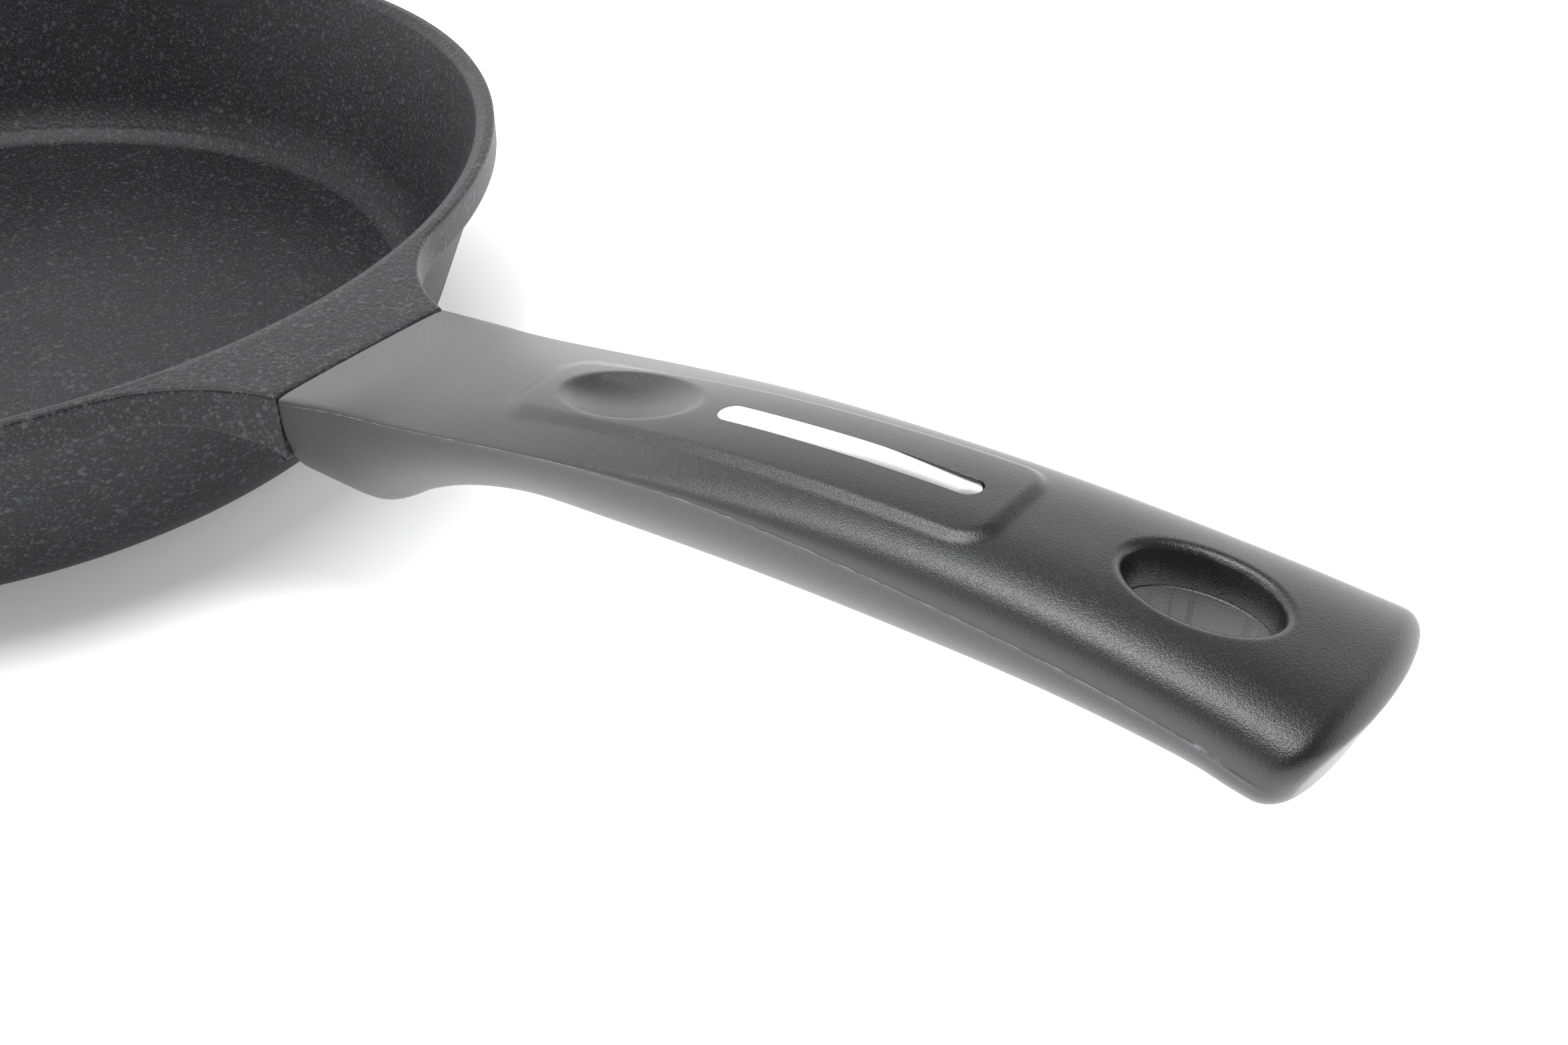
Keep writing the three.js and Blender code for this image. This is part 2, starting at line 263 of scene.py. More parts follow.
def mapped_grid(columns, rows, place):
    """A grid of columns by rows corners, each put where place(i, j) says."""
    bm = bmesh.new()
    bmesh.ops.create_grid(bm, x_segments=columns - 1, y_segments=rows - 1, size=1.0)
    for vert in bm.verts:
        i = round((vert.co.x + 1) / 2 * (columns - 1))
        j = round((vert.co.y + 1) / 2 * (rows - 1))
        vert.co = place(i, j)
    return bm


def stadium_block(x0, x1, half, upper, lower, slices=40):
    """A bar with round ends, whose top and bottom follow two curves along X."""
    bm = bmesh.new()
    bmesh.ops.create_circle(bm, cap_ends=True, radius=half, segments=48)
    for vert in bm.verts:
        vert.co.x += x1 - half if vert.co.x > 0 else x0 + half
    for x in spread(x0 + half, x1 - half, slices)[1:-1]:
        bmesh.ops.bisect_plane(
            bm, geom=bm.verts[:] + bm.edges[:] + bm.faces[:], plane_co=(x, 0, 0), plane_no=(1, 0, 0)
        )
    lid = bmesh.ops.extrude_face_region(bm, geom=bm.faces[:])["geom"]
    raised = {v for v in lid if isinstance(v, bmesh.types.BMVert)}
    for vert in bm.verts:
        vert.co.z = (upper if vert in raised else lower)(vert.co.x)
    outward(bm)
    return bm


def plug(x, rings, half_x=0.0, half_y=0.0, segments=64):
    """A round or oval plug on an upright axis at x, through (grow, height) rings, capped at both ends."""
    bm = bmesh.new()
    bmesh.ops.create_circle(bm, cap_ends=False, radius=1.0, segments=segments)
    verts, edges = bm.verts[:], bm.edges[:]
    directions = [v.co.xy.copy() for v in verts]
    bmesh.ops.edgeloop_fill(bm, edges=edges)
    for i, (grow, height) in enumerate(rings):
        if i:
            loop = bmesh.ops.extrude_edge_only(bm, edges=edges)["geom"]
            edges = [e for e in loop if isinstance(e, bmesh.types.BMEdge)]
            verts = [v for v in loop if isinstance(v, bmesh.types.BMVert)]
            directions = [Vector(((v.co.x - x) / wide_x, v.co.y / wide_y)) for v in verts]
        wide_x, wide_y = half_x + grow, half_y + grow
        for vert, way in zip(verts, directions):
            vert.co = (x + wide_x * way.x, wide_y * way.y, height)
    bmesh.ops.edgeloop_fill(bm, edges=edges)
    outward(bm)
    return bm


def block(low, high):
    bm = bmesh.new()
    bmesh.ops.create_cube(bm, size=1.0)
    for vert in bm.verts:
        vert.co = [mix(a, b, c + 0.5) for a, b, c in zip(low, high, vert.co)]
    return bm


# ---------- the pan ----------


class Lug:
    """Plan outline of the lug: from the rim along a concave flare, round a small corner, across the end."""

    corner = 0.5 * MM

    def __init__(self, pan):
        self.rim, self.flare = pan.rim_radius, pan.lug_flare
        self.end = JOINT_X - LUG_GAP
        self.half = pan.lug_half_width
        # the flare's circle touches the rim's circle and passes the end at the lug's half width
        self.touch = self.find_touch()
        reach = self.rim + self.flare
        self.cx, self.cy = reach * cos(self.touch), reach * sin(self.touch)
        wide = self.flare + self.corner
        self.round_x = self.end - self.corner
        self.round_y = self.cy - sqrt(wide**2 - (self.cx - self.round_x) ** 2)
        self.turn = atan2(self.cy - self.round_y, self.cx - self.round_x)
        self.stop = self.turn + pi
        self.sweep = self.stop - (pi + self.touch)
        self.lengths = (self.round_y, self.corner * self.turn, self.flare * self.sweep)
        self.total = sum(self.lengths)

    def find_touch(self):
        low, high = radians(5), radians(60)
        for _ in range(60):
            guess = (low + high) / 2
            reach = self.rim + self.flare
            off = reach * cos(guess) - self.end
            width = reach * sin(guess) - sqrt(max(self.flare**2 - off**2, 0.0))
            low, high = (guess, high) if width < self.half else (low, guess)
        return guess

    def at(self, share):
        """Point and outward direction at a share of the way from the end's middle (0) to the rim (1)."""
        side = -1.0 if share < 0 else 1.0
        run = abs(share) * self.total
        across, corner, _ = self.lengths
        if run <= across:
            return Vector((self.end, side * run)), Vector((1.0, 0.0))
        if run <= across + corner:
            angle = (run - across) / self.corner
            way = Vector((cos(angle), side * sin(angle)))
            return Vector((self.round_x, side * self.round_y)) + self.corner * way, way
        angle = self.stop - (run - across - corner) / self.flare
        way = Vector((-cos(angle), -side * sin(angle)))
        return Vector((self.cx, side * self.cy)) - self.flare * way, way


LUG_LOW = guide((124, 47.6), (128, 47.4), (131, 46.9), (135, 46), (140, 44.3), (144, 43.2), (148.3, 40.8))


class PanRows:
    """The rows of the pan's skin, from the middle of the floor over the rim to the middle of the base."""

    top_edge, low_edge, joint_edge = 0.7 * MM, 0.9 * MM, 1.6 * MM

    def __init__(self, pan):
        self.pan = pan
        self.lug = Lug(pan)
        self.flat = pan.rim_radius - 1.9 * MM  # inner edge of the rim's level top
        self.foot = pan.rim_radius - 2.7 * MM  # where the bead's underside meets the wall
        self.foot_z = pan.height - pan.bead
        self.rows = self.inside() + self.bead() + self.outside()

    def arc(self, radius, start, stop, steps):
        pan = self.pan
        return [
            (pan.base_radius + radius * cos(a), pan.corner - radius * sin(a)) for a in spread(start, stop, steps)
        ]

    def inside(self):
        pan = self.pan
        inner = pan.corner - pan.wall
        start = asin((pan.corner - pan.floor_height - pan.floor_step) / inner)
        curve = self.arc(inner, start, pan.lean, 12)
        foot_r, foot_z = curve[0]
        step_r, level = pan.floor_radius, pan.floor_height
        points = [(r, level) for r in spread(0.0, step_r - 1.2 * MM, 22)]
        points += [(step_r - 0.4 * MM, level + 0.08 * MM), (step_r + 0.2 * MM, level + 0.4 * MM)]
        points += [(mix(step_r, foot_r, t), mix(level, foot_z, t)) for t in (0.35, 0.6, 0.8)]
        points += [(foot_r + 0.15 * MM, foot_z - 0.05 * MM)] + curve[1:]
        wall_r, wall_z = curve[-1]
        lip_z = pan.height - 1.7 * MM
        lip_r = wall_r + (lip_z - wall_z) * tan(pan.lean)
        points += [(mix(wall_r, lip_r, t), mix(wall_z, lip_z, t)) for t in spread(0, 1, 14)[1:]]
        points += [(lip_r + 0.2 * MM, lip_z + 0.45 * MM), (lip_r + 0.55 * MM, lip_z + 0.8 * MM)]
        points += [(self.flat - 0.5 * MM, pan.height - 0.22 * MM), (self.flat - 0.15 * MM, pan.height - 0.03 * MM)]
        return [("turned", p) for p in points]

    def bead(self):
        rows = [("top", t) for t in spread(0, 1, 12)]
        rows += [("top_edge", radians(a)) for a in (25, 50, 75, 90)]
        rows += [("side", t) for t in spread(0, 1, 12)[1:]]
        rows += [("low_edge", radians(a)) for a in (18, 36, 54, 72, 90)]
        return rows + [("under", t) for t in spread(0, 1, 10)[1:]]

    def outside(self):
        pan = self.pan
        curve = self.arc(pan.corner, pan.lean, pi / 2, 22)
        wall_r, wall_z = curve[0]
        start_z = self.foot_z - 0.9 * MM
        start_r = wall_r + (start_z - wall_z) * tan(pan.lean)
        points = [(self.foot - 0.25 * MM, self.foot_z - 0.25 * MM)]
        points += [(mix(start_r, wall_r, t), mix(start_z, wall_z, t)) for t in spread(0, 1, 12)]
        points += [(r, max(z, 0.35 * MM)) for r, z in curve[1:]]
        edge = pan.base_radius
        points += [(edge - 0.5 * MM, 0.35 * MM), (edge - 0.9 * MM, 0.28 * MM), (edge - 1.2 * MM, 0.0)]
        points += [(r, 0.0) for r in spread(edge - 1.5 * MM, 0.0, 18)]
        return [("turned", p) for p in points]

    def place(self, row, angle):
        """Where a row's point lies at an angle round the pan, pushed out along the lug where there is one."""
        kind, value = row
        round_way = Vector((cos(angle), sin(angle)))
        if kind == "turned":
            radius, z = value
            return (*(radius * round_way), z)
        pan, lug = self.pan, self.lug
        share = angle / lug.touch
        point, way = (pan.rim_radius * round_way, round_way) if abs(share) >= 1 else lug.at(share)
        out = min((point.length - pan.rim_radius) / (lug.end - pan.rim_radius), 1.0)
        top = mix(pan.height, pan.lug_top, ramp(out, 0, 1))
        low_edge = mix(self.low_edge, self.joint_edge, out)
        if kind == "top":
            spot = (self.flat * round_way).lerp(point - self.top_edge * way, value)
            return (*spot, mix(pan.height, top, ramp(value, 0, 1)))
        if kind == "top_edge":
            return (*(point - self.top_edge * (1 - sin(value)) * way), top - self.top_edge * (1 - cos(value)))
        low = self.foot_z + LUG_LOW(point.x) - LUG_LOW(0) if abs(share) < 1 else self.foot_z
        if kind == "side":
            return (*point, mix(top - self.top_edge, low + low_edge, value))
        if kind == "low_edge":
            return (*(point - low_edge * (1 - cos(value)) * way), low + low_edge * (1 - sin(value)))
        spot = (point - low_edge * way).lerp(self.foot * round_way, value)
        under = self.foot_z + LUG_LOW(spot.x) - LUG_LOW(0) if abs(share) < 1 else self.foot_z
        return (*spot, mix(low, under, ramp(value, 0, 0.35)))


def pan_shell(pan):
    rows = PanRows(pan)
    touch = rows.lug.touch
    profile = [Vector(rows.place(row, pi)) for row in rows.rows]
    bm = bmesh.new()
    verts = [bm.verts.new(co) for co in profile]
    for a, b in zip(verts, verts[1:]):
        bm.edges.new((a, b))
    half = pan.steps // 2
    for side in (1, -1):
        turn = side * (pi - touch)
        bmesh.ops.spin(
            bm, geom=verts + [e for e in bm.edges if e.is_wire or all(v in verts for v in e.verts)],
            cent=(0, 0, 0), axis=(0, 0, 1), angle=turn, steps=half, use_merge=False,
        )
    columns = 181
    lug = mapped_grid(
        columns, len(rows.rows), lambda i, j: rows.place(rows.rows[j], mix(-touch, touch, i / (columns - 1)))
    )
    mesh = bpy.data.meshes.new("lug")
    lug.to_mesh(mesh)
    lug.free()
    bm.from_mesh(mesh)
    bpy.data.meshes.remove(mesh)
    bmesh.ops.remove_doubles(bm, verts=bm.verts, dist=2e-6)
    bmesh.ops.dissolve_degenerate(bm, edges=bm.edges, dist=1e-7)
    outward(bm)
    return bm


def add_tongue(bm):
    """Draws faces in the middle of the lug's end out into the tongue inside the handle."""

    def inside(co):
        across = abs(co.y) < TONGUE["half_width"] and TONGUE["low"] < co.z < TONGUE["high"]
        return co.x > JOINT_X - LUG_GAP - 1e-5 and across

    faces = [f for f in bm.faces if all(inside(v.co) for v in f.verts)]
    drawn = bmesh.ops.extrude_face_region(bm, geom=faces)["geom"]
    bmesh.ops.delete(bm, geom=faces, context="FACES")
    for vert in (v for v in drawn if isinstance(v, bmesh.types.BMVert)):
        vert.co.x = TONGUE["tip"]


# ---------- the handle ----------

TOP = guide(
    (148, 55.0), (155, 56.8), (162, 58.5), (175, 61.1), (195, 65.8), (215, 70.5), (235, 74.4), (255, 77.1),
    (275, 78.8), (297, 79.5), (320, 78.9), (344, 77.1),
)
BOTTOM = guide(
    (148, 33.8), (151, 33.3), (156, 32.5), (161, 31.9), (164, 32.1), (167, 33.8), (171, 36.7), (176, 39.7),
    (182, 42.9), (190, 46.3), (202, 49.9), (220, 52), (246, 54.7), (275, 57.4), (303, 59.7), (325, 60.7),
    (344, 60.7),
)
HALF_WIDTH = guide(
    (148, 20.5), (160, 19.6), (180, 18.7), (215, 17.8), (250, 17.2), (280, 17.2), (305, 17.8), (325, 18.9),
    (344, 20.3),
)
WIDEST = guide((148, 1.5), (180, 2.4), (210, 3.4), (246, 5.2), (275, 7.4), (318, 8.6), (344, 8.8))  # below the top
CROWN = guide(
    (148, 0.2), (155, 0.6), (162, 1.0), (175, 1.7), (195, 2.4), (215, 2.6), (235, 2.0), (255, 1.3), (275, 0.7),
    (344, 0.4),
)  # how far the top falls to its edges
TOP_POWER = guide((148, 9000), (175, 5000), (200, 3200), (235, 2750), (285, 2900), (344, 3100))
UNDER_POWER = guide((148, 3000), (175, 2600), (205, 2350), (235, 2450), (344, 2450))

TOP_STEPS, UNDER_STEPS = 110, 64
FLASH_WIDTH = 0.0035  # share of the arc next to the parting line that its thin ridge takes

PANEL = {"front": 195 * MM, "rear": 287.5 * MM, "half_front": 9.6 * MM, "half_rear": 10.4 * MM, "corner": 5 * MM}
DISH = {"x": 215 * MM, "half_length": 14.3 * MM, "half_width": 7.7 * MM}
SLOT = {"front": 234 * MM, "rear": 281.6 * MM}
STRIP_THICKNESS = 0.6 * MM
SLOT_CLEARANCE = 0.3 * MM  # air under the strip
HOLE_X = 316 * MM
HOLE_PARTING = 7 * MM  # depth of the parting line in the hanging hole


def half_arc(half, reach, power, count):
    """Points (y, z) over a superellipse's half, evenly apart, with a narrow step at each end."""
    fine = []
    for k in range(161):
        angle = pi * k / 160
        c, s = abs(cos(angle)), abs(sin(angle))
        radius = ((c / half) ** power + (s / reach) ** power) ** (-1 / power)
        fine.append((radius * cos(angle), radius * s))
    lengths = [0.0]
    for a, b in zip(fine, fine[1:]):
        lengths.append(lengths[-1] + hypot(b[0] - a[0], b[1] - a[1]))
    shares = [0.0] + spread(FLASH_WIDTH, 1 - FLASH_WIDTH, count - 2) + [1.0]
    points = []
    for share in shares:
        run = share * lengths[-1]
        k = min(max(bisect_right(lengths, run) - 1, 0), len(fine) - 2)
        t = (run - lengths[k]) / (lengths[k + 1] - lengths[k])
        points.append((mix(fine[k][0], fine[k + 1][0], t), mix(fine[k][1], fine[k + 1][1], t)))
    return points


def panel_share(x, y, bevel):
    """1 on the raised panel, 0 off it, and between the two on its slope."""
    centre = (PANEL["front"] + PANEL["rear"]) / 2
    half_y = mix(PANEL["half_front"], PANEL["half_rear"], ramp(x, PANEL["front"], PANEL["rear"]))
    corner = PANEL["corner"]
    qx = abs(x - centre) - (PANEL["rear"] - PANEL["front"]) / 2 + corner
    qy = abs(y) - half_y + corner
    distance = hypot(max(qx, 0.0), max(qy, 0.0)) + min(max(qx, qy), 0.0) - corner
    wide = bevel * mix(2.4, 1.0, ramp(x, PANEL["front"], PANEL["front"] + 22 * MM))
    return ramp(-distance, -wide / 2, wide / 2)


def hole_distance(x, y, handle):
    """Rough distance outside the hanging hole's oval."""
    half_x, half_y = handle.hole_length / 2, handle.hole_width / 2
    dx, dy = x - HOLE_X, y
    size = hypot(dx / half_x, dy / half_y)
    steep = hypot(dx / half_x**2, dy / half_y**2)
    return (size - 1) * size / steep if steep else -half_y


def rounding(distance, radius):
    """Drop of a rounded edge at a distance back from it."""
    if distance >= radius:
        return 0.0
    return radius - sqrt(max(radius**2 - (radius - max(distance, 0.0)) ** 2, 0.0))


def top_relief(x, y, handle):
    height = handle.panel_raise * panel_share(x, y, handle.panel_bevel)
    far = ((x - DISH["x"]) / DISH["half_length"]) ** 2 + (y / DISH["half_width"]) ** 2
    inside = 1 - far
    height -= handle.dish_depth * (sqrt(inside**2 + 0.0035) + inside) / 2 if far < 3 else 0.0
    return height - rounding(hole_distance(x, y, handle), handle.hole_edge)


def handle_ring(x, handle, inset=0.0, bow=0.0, shrink=1.0):
    top, bottom = TOP(x) - inset, BOTTOM(x) + inset
    widest = TOP(x) - WIDEST(x)
    half = HALF_WIDTH(x) - inset
    over = half_arc(half, top - widest, TOP_POWER(x) / MM / 1000, TOP_STEPS)
    under = half_arc(half, widest - bottom, UNDER_POWER(x) / MM / 1000, UNDER_STEPS)
    middle = (top + bottom) / 2
    reach = top - widest
    crown = CROWN(x)
    points = [(y, z - crown * (y / half) ** 2 * z / reach, 1) for y, z in over]
    points += [(-y, -z, -1) for y, z in under[1:]]
    ring = []
    for k, (y, rise, side) in enumerate(points):
        z = widest + rise
        if shrink == 1.0 and inset == 0.0:
            if k in (0, TOP_STEPS, TOP_STEPS + UNDER_STEPS):
                ridge = 0.6 + 0.4 * noise.noise((x * 260, (0 if y > 0 else 7), 0))
                y += (0.1 * MM if y > 0 else -0.1 * MM) * ridge
            elif side > 0:
                z += top_relief(x, y, handle)
            else:
                z += rounding(hole_distance(x, y, handle), handle.hole_edge)
        y, z = y * shrink, mix(middle, z, shrink)
        back = y * y / (2 * handle.tip_radius) + max(0.0, TOP(x) - 3 * MM - z) * tan(handle.tip_rake)
        ring.append((x - bow * back, y, z))
    return ring


def handle_rings(handle):
    rings = []
    for x, inset in ((0, 0.3), (0.08, 0.12), (0.25, 0.03)):
        rings.append(handle_ring(JOINT_X + x * MM, handle, inset=inset * MM))
    tip = HANDLE_HIGH[0]
    nose = tip - handle.tip_edge
    stations = spread(JOINT_X + 0.6 * MM, 190 * MM, 38) + spread(190 * MM, 301 * MM, 146)[1:]
    stations += spread(301 * MM, 331 * MM, 75)[1:] + spread(331 * MM, nose, 8)[1:]
    for x in stations:
        rings.append(handle_ring(x, handle, bow=ramp(x, nose - 18 * MM, nose)))
    for degrees in (12, 24, 36, 48, 60, 72, 82, 90):
        angle = radians(degrees)
        inset = handle.tip_edge * (1 - cos(angle))
        rings.append(handle_ring(nose + handle.tip_edge * sin(angle), handle, inset=inset, bow=1.0))
    for shrink in (0.9, 0.78, 0.64, 0.5, 0.36, 0.22, 0.1, 0.03):
        rings.append(handle_ring(tip, handle, inset=handle.tip_edge, bow=1.0, shrink=shrink))
    return rings


def panel_height(x, handle):
    return TOP(x) + handle.panel_raise


def strip_top(x, handle):
    return panel_height(x, handle) - 0.5 * MM * ramp(x, 260 * MM, SLOT["rear"])


def handle_cutters(handle):
    slot = stadium_block(
        SLOT["front"], SLOT["rear"], handle.slot_half_width,
        lambda x: panel_height(x, handle) + 5 * MM,
        lambda x: strip_top(x, handle) - STRIP_THICKNESS - SLOT_CLEARANCE,
    )
    parting = TOP(HOLE_X) - HOLE_PARTING
    lip = 0.12 * MM
    hole = plug(
        HOLE_X,
        [
            (0.6 * MM, 40 * MM), (0.1 * MM, parting - lip), (-0.16 * MM, parting), (0.0, parting + lip),
            (0.35 * MM, 90 * MM),
        ],
        half_x=handle.hole_length / 2, half_y=handle.hole_width / 2, segments=128,
    )
    side = SOCKET["half_width"]
    socket = block((140 * MM, -side, SOCKET["low"]), (SOCKET["end"], side, SOCKET["high"]))
    screw_x = (SCREW_LOW[0] + SCREW_HIGH[0]) / 2
    # countersunk mouth, counterbore for head and washers, clearance for the shank
    bore = plug(
        screw_x,
        [
            (6.6 * MM, 20 * MM), (6.6 * MM, 31 * MM), (6 * MM, 32.8 * MM), (6 * MM, 39 * MM), (2.9 * MM, 39.01 * MM),
            (2.9 * MM, 43 * MM),
        ],
    )
    return [slot, hole, socket, bore]


# ---------- materials ----------


class Finish:
    """Builds a material's nodes; number sockets of the shader are set directly."""

    def __init__(self, name, colour, **sockets):
        self.material = bpy.data.materials.new(name)
        self.material.use_nodes = True
        self.tree = self.material.node_tree
        self.shader = self.tree.nodes["Principled BSDF"]
        self.shader.inputs["Base Color"].default_value = (*colour, 1.0)
        for socket, value in sockets.items():
            self.shader.inputs[socket.replace("_", " ")].default_value = value
        self.place = self.add("ShaderNodeTexCoord").outputs["Object"]

    def add(self, kind, inputs=None, **settings):
        node = self.tree.nodes.new(kind)
        for key, value in settings.items():
            setattr(node, key, value)
        for key, value in (inputs or {}).items():
            self.join(value, node.inputs[key])
        return node

    def join(self, value, socket):
        if isinstance(value, bpy.types.NodeSocket):
            self.tree.links.new(value, socket)
        else:
            socket.default_value = value

    def set(self, socket, value):
        self.join(value, self.shader.inputs[socket])

    def maths(self, operation, a, b=0.0, c=0.0):
        return self.add("ShaderNodeMath", {0: a, 1: b, 2: c}, operation=operation).outputs[0]

    def noise(self, scale, detail=2.0, roughness=0.5, place=None):
        node = self.add(
            "ShaderNodeTexNoise",
            {"Vector": place or self.place, "Scale": scale, "Detail": detail, "Roughness": roughness},
        )
        return node.outputs["Fac"]

    def cells(self, scale, place=None):
        node = self.add("ShaderNodeTexVoronoi", {"Vector": place or self.place, "Scale": scale})
        return node.outputs["Distance"], node.outputs["Color"]

    def span(self, value, low, high, to_low=0.0, to_high=1.0):
        node = self.add(
            "ShaderNodeMapRange",
            {"Value": value, "From Min": low, "From Max": high, "To Min": to_low, "To Max": to_high},
        )
        return node.outputs["Result"]

    def blend(self, share, a, b):
        node = self.add("ShaderNodeMix", data_type="RGBA")
        self.join(share, node.inputs[0])
        for value, socket in ((a, node.inputs[6]), (b, node.inputs[7])):
            self.join(value if isinstance(value, bpy.types.NodeSocket) else (*value, 1.0), socket)
        return node.outputs[2]

    def bump(self, height, distance, strength=1.0, normal=None):
        inputs = {"Height": height, "Distance": distance, "Strength": strength}
        if normal:
            inputs["Normal"] = normal
        return self.add("ShaderNodeBump", inputs).outputs["Normal"]

    def flecks(self, scale, size, share):
        """Small rounded flecks in a share of the cells of a random pattern."""
        distance, colour = self.cells(scale)
        parts = self.add("ShaderNodeSeparateColor", {0: colour})
        chosen = self.maths("LESS_THAN", parts.outputs[0], share)
        grown = self.span(parts.outputs[1], 0.0, 1.0, size * 0.45, size)
        inside = self.span(self.maths("SUBTRACT", grown, distance), 0.0, size * 0.45)
        return self.maths("MULTIPLY", chosen, inside)


def coating_finish(finishes):
    """Dark non-stick coating with pale, faintly tinted flecks of several sizes."""
    f = Finish("Speckled coating", finishes.coating, Roughness=0.5, Specular_IOR_Level=0.28)
    cloud = f.span(f.noise(45, 3), 0.3, 0.7)
    colour = f.blend(cloud, tuple(0.82 * c for c in finishes.coating), tuple(1.2 * c for c in finishes.coating))
    tint = f.span(f.noise(160, 1), 0.42, 0.6)
    fleck = f.blend(tint, tuple(c * k for c, k in zip(finishes.fleck, (0.92, 0.94, 1.08))),
                    tuple(c * k for c, k in zip(finishes.fleck, (1.07, 0.98, 0.9))))
    for scale, size, share, strength in ((2200, 0.6, 0.7, 0.22), (1000, 0.6, 0.6, 0.2), (520, 0.5, 0.35, 0.2)):
        mask = f.maths("MULTIPLY", f.flecks(scale, size, share), strength)
        colour = f.blend(mask, colour, fleck)
    f.set("Base Color", colour)
    f.set("Normal", f.bump(f.noise(900, 3, 0.6), 0.00022, 0.8))
    return f.material


def bare_metal_finish(finishes):
    """Metal turned on a lathe: fine rings round the pan's axis."""
    f = Finish("Turned metal", finishes.metal, Roughness=0.28, Metallic=1.0)
    parts = f.add("ShaderNodeSeparateXYZ", {0: f.place})
    squares = f.maths("ADD", f.maths("POWER", parts.outputs[0], 2), f.maths("POWER", parts.outputs[1], 2))
    radius = f.maths("SQRT", squares)
    ring = f.maths("SINE", f.maths("MULTIPLY", radius, 2 * pi / 0.0009))
    f.set("Normal", f.bump(ring, 0.00004, 0.8))
    return f.material


def phenolic_finish(finishes):
    """Dark moulded plastic with a fine grain, and a ridge at the parting line that is scuffed pale in places."""
    f = Finish("Moulded phenolic", finishes.phenolic, Roughness=0.34, Specular_IOR_Level=0.6)
    cloud = f.span(f.noise(70, 2), 0.3, 0.7)
    colour = f.blend(cloud, tuple(0.85 * c for c in finishes.phenolic), tuple(1.15 * c for c in finishes.phenolic))
    # the parting line's ridge is scuffed pale in places
    ridge = f.add("ShaderNodeAttribute", attribute_name=RIDGE).outputs["Fac"]
    scuffed = f.maths("MULTIPLY", ridge, f.span(f.noise(420, 3), 0.42, 0.66, 0.1, 1.0))
    f.set("Base Color", f.blend(scuffed, colour, tuple(24 * c for c in finishes.phenolic)))
    first = f.bump(f.noise(6000, 1, 0.6), 0.00005, 1.0)
    f.set("Normal", f.bump(f.noise(2600, 2, 0.6), 0.00004, 1.0, first))
    return f.material


def steel_finish(finishes):
    return Finish("Polished steel", finishes.steel, Roughness=0.26, Metallic=1.0).material


def zinc_finish(finishes):
    f = Finish("Zinc plate", finishes.zinc, Roughness=0.34, Metallic=1.0)
    f.set("Normal", f.bump(f.noise(1400, 2), 0.00003, 0.5))
    return f.material


def wear(node, *materials):
    """Puts materials on a shown CAD node."""
    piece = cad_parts[node]
    piece.data.materials.clear()
    for material in materials:
        piece.data.materials.append(material)


# ---------- operators ----------


class PAN_OT_body(bpy.types.Operator):
    """Make the pan: bowl, rim bead, lug and the tongue inside the handle"""

    bl_idname = "frying_pan.body"
    bl_label = "Pan"

    def execute(self, context):
        scene = context.scene
        bm = pan_shell(scene.pan_settings)
        add_tongue(bm)
        smooth(bm)
        base = scene.pan_settings.base_radius - 1.3 * MM
        for face in bm.faces:
            middle = face.calc_center_median()
            face.material_index = int(middle.z < 0.1 * MM and middle.xy.length < base)
        pan = piece_from(bm, "cast_pan")
        pan.data.materials.append(coating_finish(scene.finish_settings))
        pan.data.materials.append(bare_metal_finish(scene.finish_settings))
        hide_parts("pan_body")
        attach(pan, "root")
        return {"FINISHED"}


class PAN_OT_handle(bpy.types.Operator):
    """Make the moulded handle with its panel, thumb dish, slot and hanging hole"""

    bl_idname = "frying_pan.handle"
    bl_label = "Handle"

    def execute(self, context):
        settings = context.scene.handle_settings
        rings = handle_rings(settings)
        around = TOP_STEPS + UNDER_STEPS
        bm = mapped_grid(len(rings), around + 1, lambda i, j: rings[i][j])
        bmesh.ops.remove_doubles(bm, verts=bm.verts, dist=1e-6)
        bmesh.ops.holes_fill(bm, edges=bm.edges, sides=0)
        outward(bm)
        bm = cut_away(bm, handle_cutters(settings))
        smooth(bm)
        ridge = bm.verts.layers.float.new(RIDGE)
        for vert in bm.verts:
            x, y, z = vert.co
            vert[ridge] = float(abs(y) > HALF_WIDTH(x) and abs(z - TOP(x) + WIDEST(x)) < 0.1 * MM)
        handle = piece_from(bm, "moulded_handle")
        handle.data.materials.append(phenolic_finish(context.scene.finish_settings))
        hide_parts("handle")
        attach(handle, "root")
        return {"FINISHED"}


class PAN_OT_strip(bpy.types.Operator):
    """Make the polished strip that lies in the handle's slot"""

    bl_idname = "frying_pan.strip"
    bl_label = "Strip"

    def execute(self, context):
        settings = context.scene.handle_settings
        bm = stadium_block(
            SLOT["front"] + 0.06 * MM, SLOT["rear"] - 0.3 * MM, settings.slot_half_width - 0.04 * MM,
            lambda x: strip_top(x, settings), lambda x: strip_top(x, settings) - STRIP_THICKNESS,
        )
        rims = [e for e in bm.edges if e.calc_face_angle(0.0) > radians(60)]
        bmesh.ops.bevel(
            bm, geom=rims, offset=0.07 * MM, segments=2, profile=0.5, affect="EDGES", material=-1
        )
        smooth(bm)
        strip = piece_from(bm, "polished_strip")
        strip.data.materials.append(steel_finish(context.scene.finish_settings))
        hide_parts("handle_inlay")
        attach(strip, "root")
        return {"FINISHED"}


class PAN_OT_fastening(bpy.types.Operator):
    """Give the screw and the two washers their zinc finish"""

    bl_idname = "frying_pan.fastening"
    bl_label = "Screw and washers"

    def execute(self, context):
        zinc = zinc_finish(context.scene.finish_settings)
        for node in ("handle_screw", "spring_washer", "flat_washer"):
            wear(node, zinc)
        return {"FINISHED"}


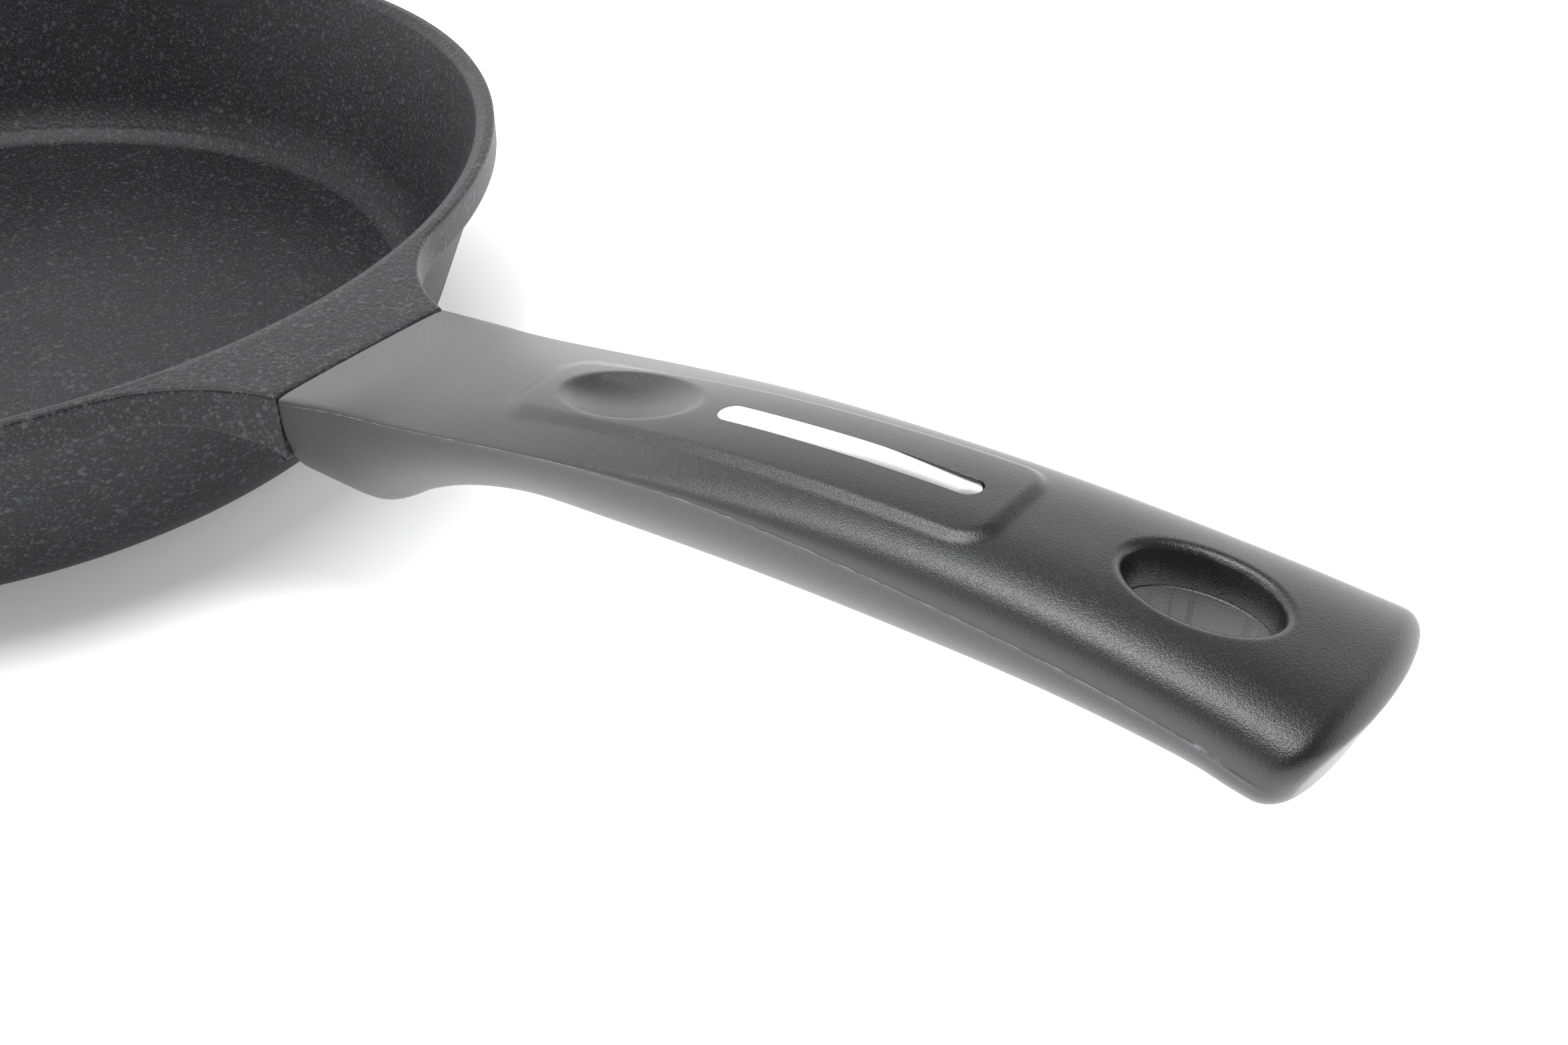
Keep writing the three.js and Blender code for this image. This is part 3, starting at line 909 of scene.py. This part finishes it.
class PAN_OT_stage(bpy.types.Operator):
    """Set up the floor, the lights, the white surround and the camera"""

    bl_idname = "frying_pan.stage"
    bl_label = "Stage"

    def execute(self, context):
        settings = context.scene.stage_settings
        self.floor(settings)
        self.softbox(settings)
        self.surround(context.scene, settings)
        self.camera(context.scene, settings)
        context.scene.view_settings.view_transform = "Standard"
        return {"FINISHED"}

    def floor(self, settings):
        bm = bmesh.new()
        bmesh.ops.create_grid(bm, x_segments=1, y_segments=1, size=3.0)
        floor = piece_from(bm, "floor")
        white = Finish("White floor with painted glow", settings.floor, Roughness=0.6)
        white.set("Emission Color", (1.0, 1.0, 1.0, 1.0))
        # painted light: the floor glows by itself, weakly near the pan and five times as strongly a little way off
        # it, so cast shadows away from the pan burn out to pure white
        away = white.add("ShaderNodeVectorMath", {0: white.place}, operation="LENGTH").outputs["Value"]
        white.set("Emission Strength", white.span(away, 0.115, 0.175, settings.glow, 5 * settings.glow))
        floor.data.materials.append(white.material)

    def softbox(self, settings):
        light = bpy.data.lights.new("softbox", "AREA")
        light.shape = "RECTANGLE"
        light.size, light.size_y = 0.85, 0.32
        light.energy = settings.softbox
        softbox = bpy.data.objects.new("softbox", light)
        softbox.location = (-0.05, -0.3, 1.1)
        bpy.context.scene.collection.objects.link(softbox)

    def surround(self, scene, settings):
        world = bpy.data.worlds.new("Studio")
        world.use_nodes = True
        tree = world.node_tree
        background = tree.nodes["Background"]
        place = tree.nodes.new("ShaderNodeTexCoord")
        parts = tree.nodes.new("ShaderNodeSeparateXYZ")
        tree.links.new(place.outputs["Generated"], parts.inputs[0])
        ramp_node = tree.nodes.new("ShaderNodeValToRGB")
        steps = ramp_node.color_ramp
        steps.elements[0].position, steps.elements[0].color = 0.0, (1, 1, 1, 1)
        steps.elements[1].position, steps.elements[1].color = 0.85, (0.07, 0.07, 0.07, 1)
        for place_z, level in ((0.3, 1.0), (0.48, 0.85), (0.6, 0.4), (0.7, 0.15)):
            steps.elements.new(place_z).color = (level, level, level, 1)
        tree.links.new(parts.outputs[2], ramp_node.inputs[0])
        # the room behind the camera is darker than the white sweep in front of it
        facing = tree.nodes.new("ShaderNodeVectorMath")
        facing.operation = "DOT_PRODUCT"
        tree.links.new(place.outputs["Generated"], facing.inputs[0])
        facing.inputs[1].default_value = (0.6, -0.8, 0.0)
        share = tree.nodes.new("ShaderNodeMapRange")
        tree.links.new(facing.outputs["Value"], share.inputs["Value"])
        share.inputs["From Min"].default_value = 0.1
        share.inputs["From Max"].default_value = 0.6
        share.inputs["To Min"].default_value = settings.surround
        share.inputs["To Max"].default_value = settings.surround * 0.15
        tree.links.new(ramp_node.outputs[0], background.inputs["Color"])
        tree.links.new(share.outputs["Result"], background.inputs["Strength"])
        scene.world = world

    def camera(self, scene, settings):
        lens = bpy.data.cameras.new("camera")
        lens.lens = settings.focal
        lens.sensor_width = 36.0
        camera = bpy.data.objects.new("camera", lens)
        camera.location = (0.3865, -0.1845, 0.2269)
        camera.rotation_euler = Euler((radians(54.03), 0.0, radians(37.21)))
        scene.collection.objects.link(camera)
        scene.camera = camera


class PAN_PT_panel(bpy.types.Panel):
    """The frying pan's pieces and settings"""

    bl_label = "Frying pan"
    bl_idname = "PAN_PT_panel"
    bl_space_type = "VIEW_3D"
    bl_region_type = "UI"
    bl_category = "Frying pan"

    def draw(self, context):
        for operator in OPERATORS:
            self.layout.operator(operator.bl_idname)
        for name in SETTINGS:
            box = self.layout.box()
            settings = getattr(context.scene, name)
            for key in settings.bl_rna.properties.keys():
                if key not in {"rna_type", "name"}:
                    box.prop(settings, key)


SETTINGS = {
    "pan_settings": PanSettings,
    "handle_settings": HandleSettings,
    "finish_settings": FinishSettings,
    "stage_settings": StageSettings,
}
OPERATORS = (PAN_OT_body, PAN_OT_handle, PAN_OT_strip, PAN_OT_fastening, PAN_OT_stage)
CLASSES = (*SETTINGS.values(), *OPERATORS, PAN_PT_panel)


def register():
    for cls in CLASSES:
        bpy.utils.register_class(cls)
    for name, cls in SETTINGS.items():
        setattr(bpy.types.Scene, name, PointerProperty(type=cls))


def unregister():
    for name in SETTINGS:
        delattr(bpy.types.Scene, name)
    for cls in reversed(CLASSES):
        bpy.utils.unregister_class(cls)


def main():
    register()
    bpy.ops.frying_pan.body()
    bpy.ops.frying_pan.handle()
    bpy.ops.frying_pan.strip()
    bpy.ops.frying_pan.fastening()
    bpy.ops.frying_pan.stage()


if __name__ == "__main__":
    main()
